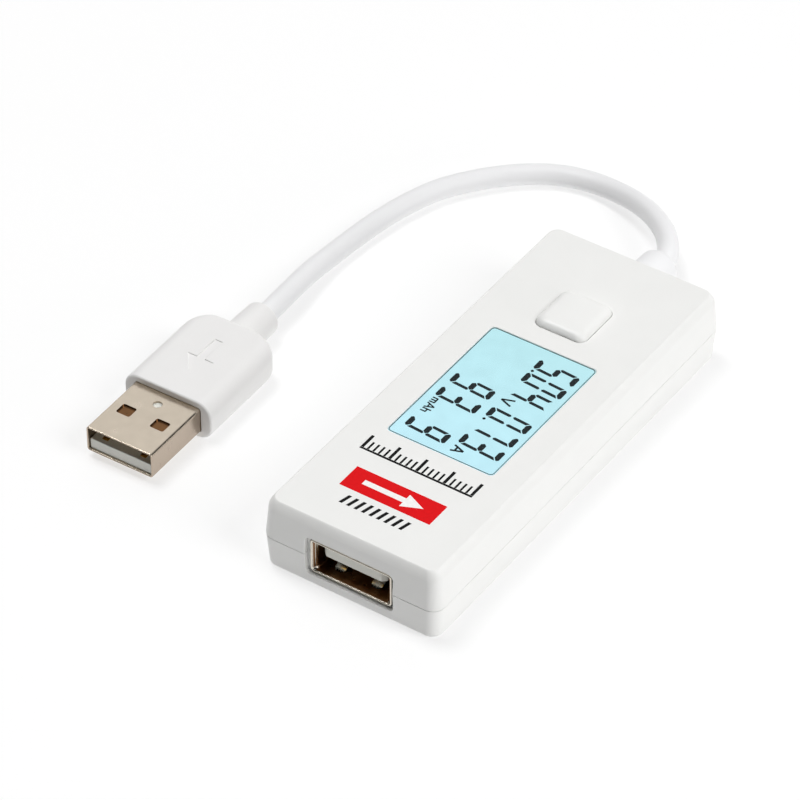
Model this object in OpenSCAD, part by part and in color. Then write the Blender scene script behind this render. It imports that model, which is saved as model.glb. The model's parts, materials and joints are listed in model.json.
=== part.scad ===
// Inline USB power meter. A case in two halves holds a display, one push button and a
// USB-A socket, and a short captive lead ends in a moulded USB-A plug.
// X runs across the case, Y from the socket towards the lead, and Z is up.
// The origin is the middle of the case's underside, on the surface that it stands on.

/* [Case] */
// Width of the case at its parting line
case_w = 31; // [30.6:0.1:31.4]
// Length of the case
case_l = 78.6; // [78.2:0.2:79.4]
// Height of the case
case_h = 12.5; // [12.3:0.1:12.8]
// Thickness of the floor and of the roof
skin_t = 1.4; // [1.2:0.1:1.4]
// How far each side draws in from the parting line to the top and to the bottom
draft = 0.4; // [0.2:0.1:0.5]
// Rounding of the case's upright corners
corner_r = 2.1; // [1.9:0.1:2.6]

/* [Display] */
// Width of the display window across the case
window_w = 18.5; // [18.3:0.1:18.6]
// Length of the display window along the case
window_l = 28.6; // [28.4:0.1:28.8]
// Place of the window's middle across the case
window_x = 0.3; // [0:0.1:0.4]
// Place of the window's middle along the case
window_y = -1.8; // [-2:0.1:-1.4]

/* [Button] */
// Width of the button cap across the case
button_w = 9; // [8.4:0.1:9.4]
// Length of the button cap along the case
button_l = 9.4; // [8.8:0.1:9.6]
// Place of the button's middle along the case
button_y = 21.1; // [20.8:0.1:21.6]
// Height of the cap above the case
button_rise = 1.2; // [0.8:0.1:1.6]

/* [Lead] */
// Diameter of the lead
cable_d = 3.5; // [3.3:0.1:3.6]
// Width of the plug's moulded grip
grip_w = 16; // [15.4:0.1:16.4]
// Length of the plug's moulded grip
grip_l = 18.8; // [18:0.1:20]
// Height of the plug's moulded grip
grip_h = 7; // [6.8:0.1:7.4]

/* [Hidden] */
$fn = 48;

// Case
parting_z = 5.7;
seam_gap = 0.15;
wall_t = 1.7;
cavity_w = case_w - 2 * wall_t;
cavity_l = case_l - 2 * wall_t;
cavity_r = 1.4;
roof_z = case_h - skin_t;
bottom_edge_r = 0.6;
// The top edge is rounded further down the sides than it is across the top
top_edge_in = 0.8;
top_edge_h = 1.6;
slice_t = 0.01;
lip_t = 0.6;
lip_h = 0.7;
fit_gap = 0.05;
// Each level is a height and how far the outline is drawn in there
bottom_levels = [for (a = [90:-30:0])
    [bottom_edge_r * (1 - sin(a)), draft + bottom_edge_r * (1 - cos(a))]];
top_levels = [for (a = [0:22.5:90])
    [case_h - slice_t - top_edge_h * (1 - sin(a)), draft + top_edge_in * (1 - cos(a))]];
case_levels = concat(bottom_levels, [[parting_z, 0]], top_levels);

// Circuit board, carried on four posts and held by the pins that stand on them
board_t = 1;
board_z = 4.7;
board_top = board_z + board_t;
board_w = case_w - 4;
board_front = -case_l / 2 + 2;
board_rear = 30.3;
board_l = board_rear - board_front;
board_y = (board_front + board_rear) / 2;
post_x = 10.8;
post_ys = [-32, 27];
post_d = 4;
pin_d = 1.6;
pin_top = board_top + 1.8;
rib_w = 10;
rib_y = 34;
rib_t = 1.1;
rib_h = 2.8;

// Display stack, from the board up to the window
window_gap = 0.15;
window_r = 0.7;
glass_w = window_w - 0.2;
glass_l = window_l - 0.2;
glass_t = 0.9;
window_t = 0.65;
window_z = case_h - fit_gap - window_t;
front_glass_z = window_z - glass_t;
rear_glass_z = front_glass_z - glass_t;
diffuser_t = 0.3;
guide_t = 2.6;
guide_z = rear_glass_z - diffuser_t - guide_t;
guide_w = 16;
guide_x = window_x + window_w / 2 - 0.15 - guide_w / 2;
guide_l = 26.8;
guide_y = window_y - glass_l / 2 + 0.1 + guide_l / 2;
led_w = 3;
led_t = 1;
led_h = 3.4;
led_xs = [-3.4, 5.6];
led_y = guide_y + guide_l / 2 + 0.2 + led_t / 2;
strip_w = 1.8;
strip_x = window_x - window_w / 2 + 0.15 + strip_w / 2;
strip_l = 27;
frame_wall = 1.45;
frame_ledge = 1.4;

// Button and tactile switch
button_r = 1.5;
button_gap = 0.15;
button_edge_r = 1.1;
button_top = case_h + button_rise;
flange_t = 0.6;
flange_z = roof_z - 0.1 - flange_t;
flange_out = 0.8;
cap_wall = 1;
cap_post_d = 4.4;
cap_hollow_h = 1.6;
switch_w = 6;
switch_h = 3.2;
switch_top = board_top + switch_h;
cover_t = 0.2;
plunger_d = 3.4;
plunger_gap = 0.05;
plunger_foot_d = 4.2;
plunger_foot_z = switch_top - 0.85;
well_d = 4.6;
well_depth = 1.6;
terminal_y = 2.25;
terminal_hole_d = 1;
dome_r = 2.2;
dome_h = 0.35;
dome_t = 0.08;

// Chips and other small parts, each a size and a place; the flat ones hang under the board
chip_w = 7;
chip_t = 1.4;
chip_y = -2;
chip_gap = 0.1;
lead_pitch = 0.8;
lead_w = 0.35;
memory_size = [4.9, 3.9, 1.5];
memory_place = [-1, 12];
regulator_size = [4.5, 2.5, 1.5];
regulator_place = [8, -12];
shunt_size = [6.3, 3.2, 0.6];
shunt_place = [4, -20.2];
crystal_d = 2;
crystal_l = 6;
crystal_place = [-9, -6];
can_d = 4;
can_h = 4.4;
can_base = [4.3, 4.3, 0.5];
can_place = [-8.5, -20.2];
ceramic_size = [2, 1.25, 0.8];
ceramic_places = [[7, -3], [7, 2], [8, -17], [-7, 12], [5, 12], [3, 16.8]];
resistor_size = [1.6, 0.8, 0.45];

// USB-A socket
socket_z = 5.35;
socket_w = 13.1;
socket_h = 5.7;
metal_t = 0.3;
rim_w = 14.3;
rim_h = 6.1;
rim_y = -case_l / 2 + 0.7;
rim_depth = 0.9;
socket_rear = -24.3;
pocket_w = 15.4;
pocket_h = 7;
pocket_z = socket_z + 0.15;
pocket_depth = 1.05;
tongue_w = 11.1;
tongue_t = 1.84;
tongue_z = socket_z + 0.25;
tongue_y = rim_y + 0.8;
tongue_bevel = 0.7;
block_front = -28.8;
contact_w = 1;
contact_xs = [-3.5, -1, 1, 3.5];
spring_x = 3.2;
spring_w = 1.9;
spring_slot_front = rim_y + 1.3;
spring_slot_l = 6;
// Side view of one floor spring, as distances behind the rim and heights from the socket's middle
spring_side = [
    [7.5, -socket_h / 2], [7.5, -socket_h / 2 + metal_t], [7.1, -2.55], [3.3, -1.9],
    [2.3, -2.1], [1.8, -2.6], [2, -2.7], [2.5, -2.35], [3.3, -2.15], [7.1, -socket_h / 2]
];
wing_w = 2.2;
wing_l = 3;
wing_y = rim_y + 6.8;
// Side view of one contact in the same way: the sprung tip, the strip under the tongue and the
// soldered tail
board_up = board_top - socket_z;
contact_side = [
    [1.4, 0.25], [1.4, 0.07], [2.7, -0.25], [4.1, 0], [12.1, 0], [12.1, board_up],
    [15.5, board_up], [15.5, board_up + 0.25], [11.85, board_up + 0.25], [11.85, 0.25]
];

// Lead
grommet_z = 5.5;
grommet_end = 46.8;
grommet_r = 3.5;
grommet_tip_r = 3.3;
grommet_neck_r = 3.2;
grommet_flange_r = 4;
grommet_flange_t = 2;
plug_x = -44.9;
plug_y = -34.5;
plug_yaw = 1;
plug_z = grip_h / 2;
plug_w = 12.1;
plug_h = 4.6;
shell_out = 12.5;
shell_l = shell_out + 6.5;
latch_size = [2.5, 2.2];
latch_x = 3.1;
latch_y = 6.3;
crimp_hole_d = 1.5;
crimp_hole_y = 10;
insulator_w = 11.4;
insulator_t = 1.9;
insulator_front = 0.4;
insulator_block_y = 8.4;
insulator_block_h = 3.9;
arrow_y = 18;
arrow_depth = 0.2;
relief_l = 7;
relief_r = 3.1;
relief_end = shell_out + grip_l + relief_l;
plug_back = [-sin(plug_yaw), cos(plug_yaw), 0];
cable_end = [plug_x, plug_y, plug_z] + relief_end * plug_back;
// Route of the lead's middle from the grommet to the plug's strain relief
cable_route = concat([
    [0, grommet_end, grommet_z], [-0.4, 49, 5.5], [-1.8, 51.7, 5.4], [-4.2, 54.6, 5.2],
    [-8, 57.6, 4.6], [-12.5, 60.2, 3.6], [-17.5, 62, 2.5], [-22.5, 62.6, 1.9],
    [-27.5, 61.5, 1.8], [-32, 59, 1.8], [-36, 55.5, 1.8], [-39.5, 51.3, 1.8],
    [-42.2, 47, 1.8], [-44, 42, 1.8], [-45.2, 37, 1.8], [-46, 32, 1.8],
    [-46.5, 27, 1.8], [-46.7, 22.5, 2], [-46.5, 17.5, 2.7], [-46, 12.5, 3.3],
    [-45.7, 8, 3.5]
], [cable_end]);
wire_d = 1;
pad_z = board_top + 0.55;

// Flat rectangle with round corners, middle at the origin
module rounded_rect(w, l, r) {
    square([w - 2 * r, l], center = true);
    square([w, l - 2 * r], center = true);
    for (x = [-1, 1], y = [-1, 1])
        translate([x * (w / 2 - r), y * (l / 2 - r)]) circle(r);
}

// Extrudes a flat shape along Y, with its own X across and its own Y upright
module along_y(y, length) {
    translate([0, y + length, 0]) rotate([90, 0, 0]) linear_extrude(length) children();
}

// Extrudes a side view, drawn as Y and Z, across X about a middle
module across_x(x, width) {
    translate([x - width / 2, 0, 0]) rotate([90, 0, 90]) linear_extrude(width) children();
}

// Turns an outline of radius and distance about the Y axis
module about_y() {
    rotate([-90, 0, 0]) rotate_extrude() children();
}

module at_posts() {
    for (x = [-post_x, post_x], y = post_ys) translate([x, y, 0]) children();
}

module in_plug_frame() {
    translate([plug_x, plug_y, 0]) rotate([0, 0, plug_yaw]) children();
}

// Solid block of the whole case: drafted both ways from the parting line, edges rounded
module case_block() {
    hull() for (level = case_levels, x = [-1, 1], y = [-1, 1]) {
        r = corner_r - level[1] / 2;
        translate([x * (case_w / 2 - level[1] - r), y * (case_l / 2 - level[1] - r), level[0]])
            cylinder(h = slice_t, r = r, $fn = 32);
    }
}

module cavity(z, height, grow = 0) {
    translate([0, 0, z]) linear_extrude(height)
        rounded_rect(cavity_w + 2 * grow, cavity_l + 2 * grow, cavity_r + grow);
}

// What both halves of the case leave open: the socket's pocket and hole, and the lead's hole
module end_openings() {
    translate([0, 0, socket_z]) {
        translate([0, 0, pocket_z - socket_z]) along_y(-case_l / 2 - 1, 1 + pocket_depth)
            rounded_rect(pocket_w, pocket_h, 0.9);
        along_y(-case_l / 2 - 1, wall_t + 2) rounded_rect(rim_w + 0.2, rim_h + 0.2, 0.7);
    }
    translate([0, case_l / 2 - wall_t - 1, grommet_z]) rotate([-90, 0, 0])
        cylinder(h = wall_t + 3, r = grommet_r - 0.2);
}

module bottom_shell() {
    color([0.93, 0.93, 0.92]) difference() {
        union() {
            difference() {
                case_block();
                translate([-case_w, -case_l, parting_z - seam_gap])
                    cube([2 * case_w, 2 * case_l, case_h]);
                cavity(skin_t, case_h);
            }
            // Lip that locates the top half
            translate([0, 0, parting_z - 1]) difference() {
                cavity(0, 1 + lip_h, lip_t);
                cavity(-1, 3 + lip_h);
            }
            at_posts() {
                translate([0, 0, skin_t - 0.2]) cylinder(h = board_z - skin_t + 0.2, d = post_d);
                cylinder(h = pin_top, d = pin_d);
            }
            // Rib that traps the grommet's flange
            translate([-rib_w / 2, rib_y, skin_t - 0.2]) cube([rib_w, rib_t, rib_h + 0.2]);
        }
        end_openings();
    }
}

module top_shell() {
    color([0.94, 0.94, 0.93]) difference() {
        union() {
            difference() {
                case_block();
                translate([-case_w, -case_l, parting_z - case_h])
                    cube([2 * case_w, 2 * case_l, case_h]);
                cavity(0, roof_z);
            }
            at_posts() translate([0, 0, board_top])
                cylinder(h = roof_z - board_top + 0.2, d = post_d);
        }
        cavity(0, parting_z + lip_h, lip_t + fit_gap);
        at_posts() translate([0, 0, board_top - 1])
            cylinder(h = pin_top - board_top + 1.2, d = pin_d + 2 * fit_gap);
        translate([window_x, window_y, roof_z - 1]) linear_extrude(skin_t + 2)
            rounded_rect(window_w + 2 * window_gap, window_l + 2 * window_gap, window_r);
        translate([0, button_y, roof_z - 1]) linear_extrude(skin_t + 2)
            rounded_rect(button_w + 2 * button_gap, button_l + 2 * button_gap, button_r);
        end_openings();
    }
}

// One sheet of the display stack
module display_sheet(x, y, z, w, l, t, r = 0.5) {
    translate([x, y, z]) linear_extrude(t) rounded_rect(w, l, r);
}

module display_window() {
    color([0.8, 0.93, 0.97, 0.5])
        display_sheet(window_x, window_y, window_z, window_w, window_l, window_t, window_r);
}

module lcd_front_glass() {
    color([0.75, 0.9, 0.95, 0.6])
        display_sheet(window_x, window_y, front_glass_z, glass_w, glass_l, glass_t);
}

module lcd_rear_glass() {
    color([0.7, 0.86, 0.92, 0.6])
        display_sheet(window_x, window_y, rear_glass_z, glass_w, glass_l, glass_t);
}

module light_diffuser() {
    color([0.92, 0.97, 0.98])
        display_sheet(guide_x, guide_y, rear_glass_z - diffuser_t, guide_w, guide_l, diffuser_t);
}

module light_guide() {
    color([0.75, 0.92, 0.97]) display_sheet(guide_x, guide_y, guide_z, guide_w, guide_l, guide_t);
}

module backlight_leds() {
    color([0.95, 0.95, 0.8]) for (x = led_xs)
        translate([x, led_y, board_top + led_h / 2]) cube([led_w, led_t, led_h], center = true);
}

module zebra_strip() {
    color([0.85, 0.5, 0.55]) translate([strip_x, window_y - 0.1, board_top])
        linear_extrude(rear_glass_z - board_top) square([strip_w, strip_l], center = true);
}

// Tray that carries the display stack on the board
module display_frame() {
    color([0.9, 0.9, 0.88]) translate([window_x, window_y, 0]) difference() {
        translate([0, 0, board_top]) linear_extrude(roof_z - fit_gap - board_top)
            rounded_rect(glass_w + 2 * frame_wall, glass_l + 2 * frame_wall, 0.8);
        translate([0, 0, guide_z]) linear_extrude(case_h)
            rounded_rect(glass_w + 0.2, glass_l + 0.2, 0.5);
        translate([strip_x - window_x - 0.1, -0.1, 0]) linear_extrude(case_h)
            square([strip_w + 0.3, strip_l + 0.4], center = true);
        // The light guide rests on a ledge along each side, and the board shows between them
        translate([guide_x - window_x, 0, 0]) linear_extrude(case_h)
            square([guide_w - 2 * frame_ledge, glass_l - 0.1], center = true);
    }
}

module circuit_board() {
    color([0.05, 0.35, 0.2]) translate([0, 0, board_z]) linear_extrude(board_t) difference() {
        translate([0, board_y]) rounded_rect(board_w, board_l, 1);
        translate([-socket_w / 2 - 0.2, board_front - 1])
            square([socket_w + 0.4, socket_rear - board_front + 1.2]);
        for (x = [-post_x, post_x], y = post_ys) translate([x, y]) circle(d = pin_d + 0.2);
        for (x = [-1, 1], y = [-1, 1])
            translate([x * (switch_w / 2 + 0.15), button_y + y * terminal_y])
                circle(d = terminal_hole_d);
    }
}

module socket_shell() {
    color([0.8, 0.8, 0.78]) translate([0, 0, socket_z]) {
        difference() {
            union() {
                along_y(rim_y + rim_depth, socket_rear - rim_y - rim_depth)
                    rounded_rect(socket_w, socket_h, 0.6);
                hull() {
                    along_y(rim_y, 0.2) rounded_rect(rim_w, rim_h, 0.7);
                    along_y(rim_y + rim_depth, 0.2) rounded_rect(socket_w, socket_h, 0.6);
                }
                // Wings that stand on the board
                for (x = [-1, 1])
                    translate([x * (socket_w / 2 + wing_w / 2 - metal_t / 2), wing_y,
                               board_top - socket_z + metal_t / 2])
                        cube([wing_w, wing_l, metal_t], center = true);
            }
            along_y(rim_y - 1, socket_rear - rim_y + 2)
                rounded_rect(socket_w - 2 * metal_t, socket_h - 2 * metal_t, 0.3);
            hull() {
                along_y(rim_y - 0.1, 0.2) rounded_rect(rim_w - 0.7, rim_h - 0.7, 0.4);
                along_y(rim_y + rim_depth, 0.2)
                    rounded_rect(socket_w - 2 * metal_t, socket_h - 2 * metal_t, 0.3);
            }
            for (x = [-spring_x, spring_x])
                translate([x - spring_w / 2 - 0.3, spring_slot_front, -socket_h / 2 - 1])
                    cube([spring_w + 0.6, spring_slot_l, 1.5]);
        }
        // Springs pressed up from the floor, which grip the plug
        translate([0, rim_y, 0])
            for (x = [-spring_x, spring_x]) across_x(x, spring_w) polygon(spring_side);
    }
}

module contact_strips() {
    translate([0, rim_y, socket_z])
        for (x = contact_xs) across_x(x, contact_w) polygon(contact_side);
}

module socket_tongue() {
    color([0.95, 0.95, 0.93]) difference() {
        union() {
            translate([0, 0, tongue_z]) linear_extrude(tongue_t) polygon([
                [-tongue_w / 2, block_front + 1], [-tongue_w / 2, tongue_y + tongue_bevel],
                [-tongue_w / 2 + tongue_bevel, tongue_y], [tongue_w / 2 - tongue_bevel, tongue_y],
                [tongue_w / 2, tongue_y + tongue_bevel], [tongue_w / 2, block_front + 1]
            ]);
            translate([0, 0, socket_z]) along_y(block_front, socket_rear - 0.2 - block_front)
                rounded_rect(socket_w - 2 * metal_t - 0.1, socket_h - 2 * metal_t - 0.1, 0.3);
        }
        contact_strips();
    }
}

module socket_contacts() {
    color([0.85, 0.65, 0.25]) contact_strips();
}

module button_cap() {
    color([0.95, 0.95, 0.94]) translate([0, button_y, 0]) difference() {
        union() {
            translate([0, 0, flange_z]) linear_extrude(flange_t)
                rounded_rect(button_w + 2 * flange_out, button_l + 2 * flange_out, button_r);
            // Pillow shape: straight sides below, well rounded top edge
            hull() {
                translate([0, 0, flange_z]) linear_extrude(flange_t)
                    rounded_rect(button_w, button_l, button_r, $fn = 32);
                for (a = [0:22.5:90], x = [-1, 1], y = [-1, 1]) {
                    inset = button_edge_r * (1 - cos(a));
                    r = button_r - 0.4 * inset;
                    translate([x * (button_w / 2 - inset - r), y * (button_l / 2 - inset - r),
                               button_top - slice_t - button_edge_r * (1 - sin(a))])
                        cylinder(h = slice_t, r = r, $fn = 32);
                }
            }
        }
        // Hollow underneath, with a post left that meets the switch
        translate([0, 0, flange_z - 1]) linear_extrude(1 + cap_hollow_h) difference() {
            rounded_rect(button_w - 2 * cap_wall, button_l - 2 * cap_wall, 0.8);
            circle(d = cap_post_d);
        }
    }
}

module switch_plunger() {
    color([0.12, 0.12, 0.12]) translate([0, button_y, 0]) {
        translate([0, 0, plunger_foot_z]) cylinder(h = 0.6, d = plunger_foot_d);
        translate([0, 0, plunger_foot_z]) cylinder(h = flange_z - plunger_foot_z, d = plunger_d);
    }
}

module switch_cover() {
    color([0.75, 0.75, 0.77]) translate([0, button_y, switch_top]) difference() {
        linear_extrude(cover_t) rounded_rect(switch_w, switch_w, 0.3);
        translate([0, 0, -1]) cylinder(h = 2, d = plunger_d + 2 * plunger_gap);
    }
}

// Snap dome: a thin spring disc at the bottom of the switch's well
function dome_height(x) = dome_h * (1 - pow(x / dome_r, 2));

module switch_dome() {
    step = dome_r / 8;
    color([0.8, 0.78, 0.7]) translate([0, button_y, switch_top - well_depth]) rotate_extrude()
        polygon(concat(
            [for (i = [0:8]) [i * step, dome_height(i * step)]],
            [for (i = [7:-1:0]) [i * step, max(0, dome_height(i * step) - dome_t)]]
        ));
}

module switch_base() {
    color([0.1, 0.1, 0.1]) translate([0, button_y, board_top]) difference() {
        linear_extrude(switch_h) rounded_rect(switch_w, switch_w, 0.3);
        translate([0, 0, switch_h - well_depth]) cylinder(h = well_depth + 1, d = well_d);
    }
}

module switch_terminals() {
    color([0.78, 0.78, 0.78]) for (x = [-1, 1], y = [-1, 1])
        translate([x * (switch_w / 2 + 0.15), button_y + y * terminal_y, board_top - 0.6])
            cube([0.3, 0.7, 3], center = true);
}

// Plain block standing on the board
module on_board(place, size) {
    translate([place[0], place[1], board_top + size[2] / 2]) cube(size, center = true);
}

// Plain block hanging under the board
module under_board(place, size) {
    translate([place[0], place[1], board_z - size[2] / 2]) cube(size, center = true);
}

module controller_chip() {
    color([0.1, 0.1, 0.1]) translate([0, 0, -chip_gap])
        under_board([0, chip_y], [chip_w, chip_w, chip_t]);
}

// One bent lead of a chip under the board, from the body out to its pad
module chip_lead(y) {
    across_x(0, lead_w) polygon([
        [y, board_z - 0.7], [y, board_z - 0.85], [y + 0.45, board_z - 0.85],
        [y + 0.6, board_z - 0.15], [y + 1, board_z - 0.15], [y + 1, board_z],
        [y + 0.45, board_z], [y + 0.3, board_z - 0.7]
    ]);
}

module controller_leads() {
    color([0.8, 0.8, 0.8]) translate([0, chip_y, 0])
        for (turn = [0:90:270], i = [-3.5:3.5]) rotate([0, 0, turn])
            translate([lead_pitch * i, 0, 0]) chip_lead(chip_w / 2);
}

module memory_chip() {
    color([0.13, 0.13, 0.13]) under_board(memory_place, memory_size);
}

module voltage_regulator() {
    color([0.12, 0.12, 0.12]) under_board(regulator_place, regulator_size);
}

module shunt_resistor() {
    color([0.45, 0.45, 0.45]) on_board(shunt_place, shunt_size);
}

module crystal() {
    color([0.82, 0.82, 0.8])
        translate([crystal_place[0], crystal_place[1], board_z - crystal_d / 2])
            rotate([-90, 0, 0]) cylinder(h = crystal_l, d = crystal_d);
}

module bulk_capacitor() {
    color([0.75, 0.75, 0.76]) {
        on_board(can_place, can_base);
        translate([can_place[0], can_place[1], board_top]) cylinder(h = can_h, d = can_d);
    }
}

module ceramic_capacitors() {
    color([0.7, 0.6, 0.45]) for (place = ceramic_places) under_board(place, ceramic_size);
}

module chip_resistors() {
    color([0.15, 0.15, 0.18]) for (x = [-9:3:0], y = [-10, 5])
        under_board([x, y], resistor_size);
}

// Strain relief on the case: inner flange, neck through the wall, sleeve with a round shoulder
module cable_grommet() {
    wall_in = case_l / 2 - wall_t;
    wall_out = case_l / 2;
    flange_y = wall_in - 0.1;
    color([0.93, 0.93, 0.93]) translate([0, 0, grommet_z]) about_y() polygon(concat(
        [[0, flange_y - grommet_flange_t], [grommet_flange_r, flange_y - grommet_flange_t],
         [grommet_flange_r, flange_y], [grommet_neck_r, flange_y],
         [grommet_neck_r, wall_out + 0.1], [grommet_r, wall_out + 0.1]],
        [for (a = [0:15:90])
            [grommet_tip_r - 1 + cos(a), grommet_end - 1 + sin(a)]],
        [[0, grommet_end]]
    ));
}

// Sweeps a round tube of a few flat sides along a route that stays close to level
function unit(v) = v / norm(v);
function heading(route, first, last, i) =
    i == 0 ? unit(first)
    : i == len(route) - 1 ? unit(last)
    : unit(route[i + 1] - route[i - 1]);
function ring(centre, ahead, r, sides) =
    let (side = unit([ahead[1], -ahead[0], 0]), up = cross(side, ahead))
    [for (k = [0:sides - 1]) let (a = 360 * (k + 0.5) / sides)
        centre + r * (cos(a) * side + sin(a) * up)];

module tube(route, d, first, last, sides = 8) {
    rings = len(route);
    points = [for (i = [0:rings - 1])
        each ring(route[i], heading(route, first, last, i), d / 2, sides)];
    skin = [for (i = [0:rings - 2], k = [0:sides - 1]) let (next = (k + 1) % sides)
        each [[i * sides + k, (i + 1) * sides + k, (i + 1) * sides + next],
              [i * sides + k, (i + 1) * sides + next, i * sides + next]]];
    start_cap = [for (k = [0:sides - 1]) k];
    end_cap = [for (k = [sides - 1:-1:0]) (rings - 1) * sides + k];
    polyhedron(points, concat([start_cap], skin, [end_cap]), convexity = 4);
}

module cable() {
    color([0.92, 0.92, 0.93]) tube(cable_route, cable_d, [0, 1, 0], -plug_back);
}

// The four inner wires fan out from the grommet to their pads; side is -1 or 1
module outer_wire(side) {
    tube([
        [side * 0.6, 35.5, 4.9], [side * 0.8, 34.4, 4.9], [side * 2, 33.1, 5.4],
        [side * 3.4, 31.8, pad_z + 0.15], [side * 4.2, 30.6, pad_z + 0.2],
        [side * 4.5, 29.6, pad_z], [side * 4.5, 28.4, pad_z]
    ], wire_d, [0, -1, 0], [0, -1, 0]);
}

module inner_wire(side) {
    tube([
        [side * 0.6, 35.5, 6.1], [side * 0.65, 34.2, 6.3], [side * 0.9, 33, 6.6],
        [side * 1.3, 31.8, 6.7], [side * 1.5, 30.6, pad_z + 0.25], [side * 1.5, 29.6, pad_z],
        [side * 1.5, 28.4, pad_z]
    ], wire_d, [0, -1, 0], [0, -1, 0]);
}

module wire_red() {
    color([0.75, 0.08, 0.08]) outer_wire(-1);
}

module wire_black() {
    color([0.08, 0.08, 0.08]) outer_wire(1);
}

module wire_white() {
    color([0.92, 0.92, 0.9]) inner_wire(-1);
}

module wire_green() {
    color([0.1, 0.5, 0.2]) inner_wire(1);
}

// Moulded grip: each level is a place along it, a width and a height
module plug_grip() {
    front_r = 0.5;
    rear_r = 3.5;
    rear_edge_r = 0.6;
    section_r = 2.6;
    levels = concat(
        [[0, grip_w - 2 * front_r, grip_h - 2 * front_r], [0.15, grip_w - 0.3, grip_h - 0.3],
         [front_r, grip_w, grip_h]],
        [for (a = [0:22.5:90]) let (behind = rear_r * (1 - sin(a))) [
            grip_l - slice_t - behind,
            grip_w - 2 * rear_r * (1 - cos(a)),
            grip_h - 2 * max(0, rear_edge_r - behind)
        ]]
    );
    color([0.92, 0.92, 0.92]) in_plug_frame() difference() {
        translate([0, shell_out, plug_z]) hull() for (level = levels, x = [-1, 1], z = [-1, 1]) {
            r = min(section_r, level[2] / 2 - 0.3);
            translate([x * (level[1] / 2 - r), level[0], z * (level[2] / 2 - r)])
                rotate([-90, 0, 0]) cylinder(h = slice_t, r = r, $fn = 32);
        }
        translate([0, 0, plug_z]) along_y(shell_out - 1, shell_l - shell_out + 1)
            rounded_rect(plug_w, plug_h, 0.5);
        translate([0, 0, plug_z]) along_y(shell_out - 1, 1.5) rounded_rect(12.5, 5, 0.6);
        // Plain arrow sunk into the top, pointing the way the plug goes in
        translate([0, arrow_y, grip_h - arrow_depth]) linear_extrude(1) polygon([
            [0, 0], [2.4, 3.4], [0.7, 3.4], [0.7, 8.2], [-0.7, 8.2], [-0.7, 3.4], [-2.4, 3.4]
        ]);
    }
}

module plug_strain_relief() {
    color([0.92, 0.92, 0.92]) in_plug_frame() translate([0, 0, plug_z]) about_y() polygon(concat(
        [[0, shell_out + grip_l], [relief_r, shell_out + grip_l]],
        [for (a = [0:15:90]) [relief_r - 1 + 0.8 * cos(a), relief_end - 0.8 + 0.8 * sin(a)]],
        [[0, relief_end]]
    ));
}

module plug_shell() {
    color([0.8, 0.76, 0.69]) in_plug_frame() translate([0, 0, plug_z]) difference() {
        along_y(0, shell_l) rounded_rect(plug_w, plug_h, 0.5);
        along_y(-1, shell_l + 2) rounded_rect(plug_w - 2 * metal_t, plug_h - 2 * metal_t, 0.25);
        // Latch windows in the top and the bottom
        for (x = [-latch_x, latch_x], z = [-plug_h / 2, plug_h / 2])
            translate([x, latch_y, z]) cube([latch_size[0], latch_size[1], 1], center = true);
        translate([0, crimp_hole_y, 0]) cylinder(h = plug_h, d = crimp_hole_d);
    }
}

module plug_contact_bars() {
    in_plug_frame() translate([0, 0, plug_z - plug_h / 2 + metal_t + insulator_t])
        for (x = contact_xs) {
            front = abs(x) > 2 ? 1.2 : 2.2;
            translate([x - contact_w / 2, front, 0]) cube([contact_w, shell_l - front, 0.2]);
        }
}

// A flat shelf under the contacts, and a full block behind it that closes the shell
module plug_insulator() {
    color([0.94, 0.94, 0.92]) difference() {
        in_plug_frame() translate([0, 0, plug_z]) {
            translate([0, 0, (insulator_t - plug_h) / 2 + metal_t])
                along_y(insulator_front, shell_l - insulator_front)
                    rounded_rect(insulator_w, insulator_t, 0.3);
            along_y(insulator_block_y, shell_l - insulator_block_y)
                rounded_rect(insulator_w, insulator_block_h, 0.3);
        }
        plug_contact_bars();
    }
}

module plug_contacts() {
    color([0.85, 0.65, 0.25]) plug_contact_bars();
}

bottom_shell();
top_shell();
display_window();
lcd_front_glass();
lcd_rear_glass();
light_diffuser();
light_guide();
backlight_leds();
zebra_strip();
display_frame();
circuit_board();
socket_shell();
socket_tongue();
socket_contacts();
button_cap();
switch_plunger();
switch_cover();
switch_dome();
switch_base();
switch_terminals();
controller_chip();
controller_leads();
memory_chip();
voltage_regulator();
shunt_resistor();
crystal();
bulk_capacitor();
ceramic_capacitors();
chip_resistors();
cable_grommet();
cable();
wire_red();
wire_black();
wire_white();
wire_green();
plug_grip();
plug_strain_relief();
plug_shell();
plug_insulator();
plug_contacts();
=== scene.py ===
"""Looks of an inline USB power meter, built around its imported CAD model.

Sizes are millimetres in the design helpers and become metres when a mesh is made. X runs across the
case, Y from the socket towards the lead, and Z is up.
"""

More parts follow.
